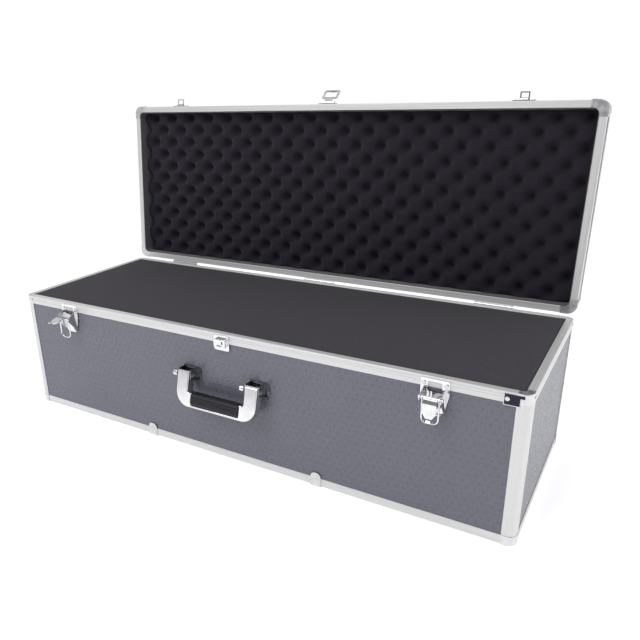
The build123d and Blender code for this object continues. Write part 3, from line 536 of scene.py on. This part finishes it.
def foam_block(name, node):
    """A cut block of foam with softened edges and an uneven top."""
    low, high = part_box(node)
    bm = bmesh.new()
    bmesh.ops.create_cube(bm, size=1.0)
    bmesh.ops.scale(bm, vec=high - low, verts=bm.verts)
    bmesh.ops.translate(bm, vec=(low + high) / 2, verts=bm.verts)
    upright = [e for e in bm.edges if abs(e.verts[0].co.z - e.verts[1].co.z) > TOUCHING]
    bmesh.ops.bevel(bm, geom=upright, offset=FOAM_CORNER, segments=5, profile=0.5, affect="EDGES")
    rim = [e for e in bm.edges if all(v.co.z > high.z - TOUCHING for v in e.verts)]
    bmesh.ops.bevel(bm, geom=rim, offset=FOAM_EDGE, segments=4, profile=0.5, affect="EDGES")
    straight_cuts(bm, low, high, FOAM_GRID)
    for vert in bm.verts:
        if vert.co.z > high.z - FOAM_EDGE - TOUCHING:
            wave = noise.noise(vert.co * BROAD_WAVES) + 0.5 * noise.noise(vert.co * FINE_WAVES)
            vert.co.z += FOAM_SWELL * (wave - 1.0)
    mesh = mesh_from(bm, name)
    crease_by_angle(mesh, 50)
    piece = make_piece(name, mesh, BASE_FOAM, "base")
    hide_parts(node)


# ---- egg-crate foam and liner in the lid -------------------------------------------------------
EGG_PITCH_X = 52 * MM
EGG_PITCH_Y = 54 * MM
EGG_HOLE_X = 399 * MM    # one hole's place, with the lid shut
EGG_HOLE_Y = -125 * MM
EGG_DEPTH = 20 * MM
EGG_STEP = 3.4 * MM
EGG_CORNER = 10 * MM
EGG_SHARPNESS = 2.5      # above 1, holes are narrower than peaks are broad
EGG_UNEVEN = 0.08        # share by which the holes' depths differ
EGG_WAVES = 22.0         # features to the metre of that unevenness


def egg_recess(x, y):
    """How far the foam's face lies behind its peaks."""
    wave = (math.cos(math.tau * (x - EGG_HOLE_X) / EGG_PITCH_X)
            * math.cos(math.tau * (y - EGG_HOLE_Y) / EGG_PITCH_Y))
    unevenness = 1 + EGG_UNEVEN * noise.noise(Vector((x, y, 0)) * EGG_WAVES)
    return EGG_DEPTH * ((1 + wave) / 2) ** EGG_SHARPNESS * unevenness


def rounded_in(x, y, half_x, half_y, radius):
    """Pull a grid point near a rectangle's corner onto the rounded corner's spread."""
    over_x, over_y = abs(x) - (half_x - radius), abs(y) - (half_y - radius)
    if over_x <= 0 or over_y <= 0:
        return x, y
    share = max(over_x, over_y) / math.hypot(over_x, over_y)
    new_x = half_x - radius + over_x * share
    new_y = half_y - radius + over_y * share
    return math.copysign(new_x, x), math.copysign(new_y, y)


def egg_crate_face(bm, half_x, half_y, level):
    """The staggered field of peaks and holes, with its peaks at a level along Z."""
    columns = round(2 * half_x / EGG_STEP)
    rows = round(2 * half_y / EGG_STEP)
    grid = []
    for row in range(rows + 1):
        line = []
        for column in range(columns + 1):
            x = -half_x + 2 * half_x * column / columns
            y = -half_y + 2 * half_y * row / rows
            x, y = rounded_in(x, y, half_x, half_y, EGG_CORNER)
            line.append(bm.verts.new((x, y, level + egg_recess(x, y))))
        grid.append(line)
    for row in range(rows):
        for column in range(columns):
            bm.faces.new((grid[row][column], grid[row][column + 1],
                          grid[row + 1][column + 1], grid[row + 1][column]))


def egg_crate_foam():
    """The convoluted foam of the lid, on a flat back."""
    low, high = lid_box("lid_egg_crate_foam")
    bm = bmesh.new()
    egg_crate_face(bm, high.x, high.y, low.z)
    close_behind(bm, high.z)
    mesh = mesh_from(bm, "lid_egg_crate")
    crease_by_angle(mesh, 70)
    piece = make_piece("lid_egg_crate", mesh, LID_FOAM, "lid", OPENED)
    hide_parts("lid_egg_crate_foam")


LINER_THICK = 1.1 * MM
LINER_CORNER = 10.4 * MM
LINER_INSET = 0.1 * MM   # inside the CAD strips' outline
CORNER_STEPS = 8


def rounded_outline(half_x, half_y, radius):
    """Points round a rectangle with rounded corners, anticlockwise from +X."""
    points = []
    for quarter, (sign_x, sign_y) in enumerate(((1, 1), (-1, 1), (-1, -1), (1, -1))):
        for step in range(CORNER_STEPS + 1):
            angle = math.radians(90 * (quarter + step / CORNER_STEPS))
            points.append((sign_x * (half_x - radius) + radius * math.cos(angle),
                           sign_y * (half_y - radius) + radius * math.sin(angle)))
    return points


def liner_band():
    """One continuous liner strip round the lid's inner wall, with a rolled free edge."""
    low, high = lid_box("lid_wall_lining")
    half_x, half_y = high.x - LINER_INSET, high.y - LINER_INSET
    outside = rounded_outline(half_x, half_y, LINER_CORNER)
    inside = rounded_outline(half_x - LINER_THICK, half_y - LINER_THICK, LINER_CORNER - LINER_THICK)
    middle = [((a[0] + b[0]) / 2, (a[1] + b[1]) / 2) for a, b in zip(outside, inside)]
    roll = 0.6 * LINER_THICK
    section = (
        (outside, high.z), (outside, low.z + roll), (middle, low.z), (inside, low.z + roll),
        (inside, high.z))
    bm = bmesh.new()
    loops = [[bm.verts.new((x, y, z)) for x, y in outline] for outline, z in section]
    for first, second in zip(loops, loops[1:] + loops[:1]):
        join_loops(bm, first, second)
    mesh = mesh_from(bm, "lid_liner_band")
    crease_by_angle(mesh, 50)
    piece = make_piece("lid_liner_band", mesh, LINER, "lid", OPENED)
    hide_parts("lid_wall_lining")


# ---- name plate's edge -------------------------------------------------------------------------
PLATE_EDGE = 0.9 * MM
PLATE_TAB = 6 * MM       # the tab at the plate's right end, which the border leaves out
PLATE_EDGE_RISE = 0.25 * MM  # in front of the plate
PLATE_EDGE_SINK = 0.3 * MM   # back into the plate


def name_plate_edge():
    """A thin bright border down the left side of the blank plate and along its foot."""
    low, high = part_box("blank_name_plate")
    front = low.y - PLATE_EDGE_RISE
    back = low.y + PLATE_EDGE_SINK
    right = high.x - PLATE_TAB
    outline = ((low.x, low.z), (right, low.z), (right, low.z + PLATE_EDGE),
               (low.x + PLATE_EDGE, low.z + PLATE_EDGE), (low.x + PLATE_EDGE, high.z),
               (low.x, high.z))
    bm = bmesh.new()
    near = [bm.verts.new((x, front, z)) for x, z in outline]
    far = [bm.verts.new((x, back, z)) for x, z in outline]
    join_loops(bm, near, far)
    bm.faces.new(near)
    bm.faces.new(reversed(far))
    mesh = mesh_from(bm, "name_plate_edge", smooth=False)
    make_piece("name_plate_edge", mesh, CASTING, "base")


# ---- studio ------------------------------------------------------------------------------------
CAMERA_PLACE = (0.6117, -0.9846, 0.6213)
CAMERA_YAW = 32.22       # degrees, left of straight along +Y
CAMERA_PITCH = -21.20
CAMERA_ROLL = 1.74
CAMERA_LENS = 36.06
CAMERA_SHIFT = (0.0745, 0.0288)
SENSOR_WIDTH = 36.0
FLOOR_HALF = 6.0
FLOOR_GLOW = 0.40
WORLD_STRENGTH = 0.74
WORLD_SEEN = (1.4, 1.4, 1.4, 1)      # what the camera sees behind the floor
ROOM_SIDE = (0.35, -0.9, 0.2)        # towards the dimmer side of the world
ROOM_DIM = (0.30, 0.30, 0.33, 1)


def add_camera():
    camera = bpy.data.cameras.new("camera")
    camera.sensor_width = SENSOR_WIDTH
    camera.lens = CAMERA_LENS
    camera.shift_x, camera.shift_y = CAMERA_SHIFT
    rig = bpy.data.objects.new("camera", camera)
    rig.matrix_world = (
        Matrix.Translation(CAMERA_PLACE)
        @ Matrix.Rotation(math.radians(CAMERA_YAW), 4, "Z")
        @ Matrix.Rotation(math.radians(CAMERA_PITCH), 4, "X")
        @ Matrix.Rotation(math.radians(CAMERA_ROLL), 4, "Y")
        @ Matrix.Rotation(math.radians(90), 4, "X"))
    bpy.context.scene.collection.objects.link(rig)
    bpy.context.scene.camera = rig


def add_floor():
    half = FLOOR_HALF
    level = cad_bounds[0].z
    bm = bmesh.new()
    corners = ((-half, -half), (half, -half), (half, half), (-half, half))
    bm.faces.new([bm.verts.new((x, y, level)) for x, y in corners])
    mesh = mesh_from(bm, "floor", smooth=False)
    material, tree, shader = start_material("floor", (0.93, 0.93, 0.93), 0.7)
    shader.inputs["Emission Color"].default_value = (1, 1, 1, 1)
    shader.inputs["Emission Strength"].default_value = FLOOR_GLOW
    mesh.materials.append(material)
    floor = bpy.data.objects.new("floor", mesh)
    bpy.context.scene.collection.objects.link(floor)


def add_area_light(name, place, target, size, power):
    light = bpy.data.lights.new(name, "AREA")
    light.shape = "SQUARE"
    light.size = size
    light.energy = power
    lamp = bpy.data.objects.new(name, light)
    lamp.location = place
    aim = Vector(target) - Vector(place)
    lamp.rotation_euler = aim.to_track_quat("-Z", "Y").to_euler()
    bpy.context.scene.collection.objects.link(lamp)


def add_world():
    """White all round, dimmer towards the room on the camera's side, which shiny fronts mirror."""
    world = bpy.data.worlds.new("studio")
    world.use_nodes = True
    bpy.context.scene.world = world
    tree = world.node_tree
    background = tree.nodes["Background"]
    background.inputs["Strength"].default_value = WORLD_STRENGTH
    coordinates = tree.nodes.new("ShaderNodeTexCoord")
    toward = tree.nodes.new("ShaderNodeVectorMath")
    toward.operation = "DOT_PRODUCT"
    toward.inputs[1].default_value = ROOM_SIDE
    ramp = tree.nodes.new("ShaderNodeValToRGB")
    ramp.color_ramp.elements[0].position = 0.30
    ramp.color_ramp.elements[0].color = (1, 1, 1, 1)
    ramp.color_ramp.elements[1].position = 0.85
    ramp.color_ramp.elements[1].color = ROOM_DIM
    seen = tree.nodes.new("ShaderNodeLightPath")
    mix = tree.nodes.new("ShaderNodeMix")
    mix.data_type = "RGBA"
    mix.inputs["B"].default_value = WORLD_SEEN
    tree.links.new(coordinates.outputs["Generated"], toward.inputs[0])
    tree.links.new(toward.outputs["Value"], ramp.inputs["Fac"])
    tree.links.new(seen.outputs["Is Camera Ray"], mix.inputs["Factor"])
    tree.links.new(ramp.outputs["Color"], mix.inputs["A"])
    tree.links.new(mix.outputs["Result"], background.inputs["Color"])


def add_studio():
    bpy.context.scene.view_settings.view_transform = "Standard"
    add_camera()
    add_floor()
    add_world()
    add_area_light("key", (-0.6, -1.5, 2.0), (-0.2, 0, 0.2), 1.6, 32.0)
    add_area_light("side", (2.2, 0.3, 1.2), (0.3, 0, 0.15), 1.6, 16.0)


# ---- the scene ---------------------------------------------------------------------------------
finish_nodes()
add_studio()
add_embossed_sheets()
foam_block("base_foam_top", "base_foam_block")
foam_block("base_foam_under", "base_foam_pad")
egg_crate_foam()
liner_band()
name_plate_edge()
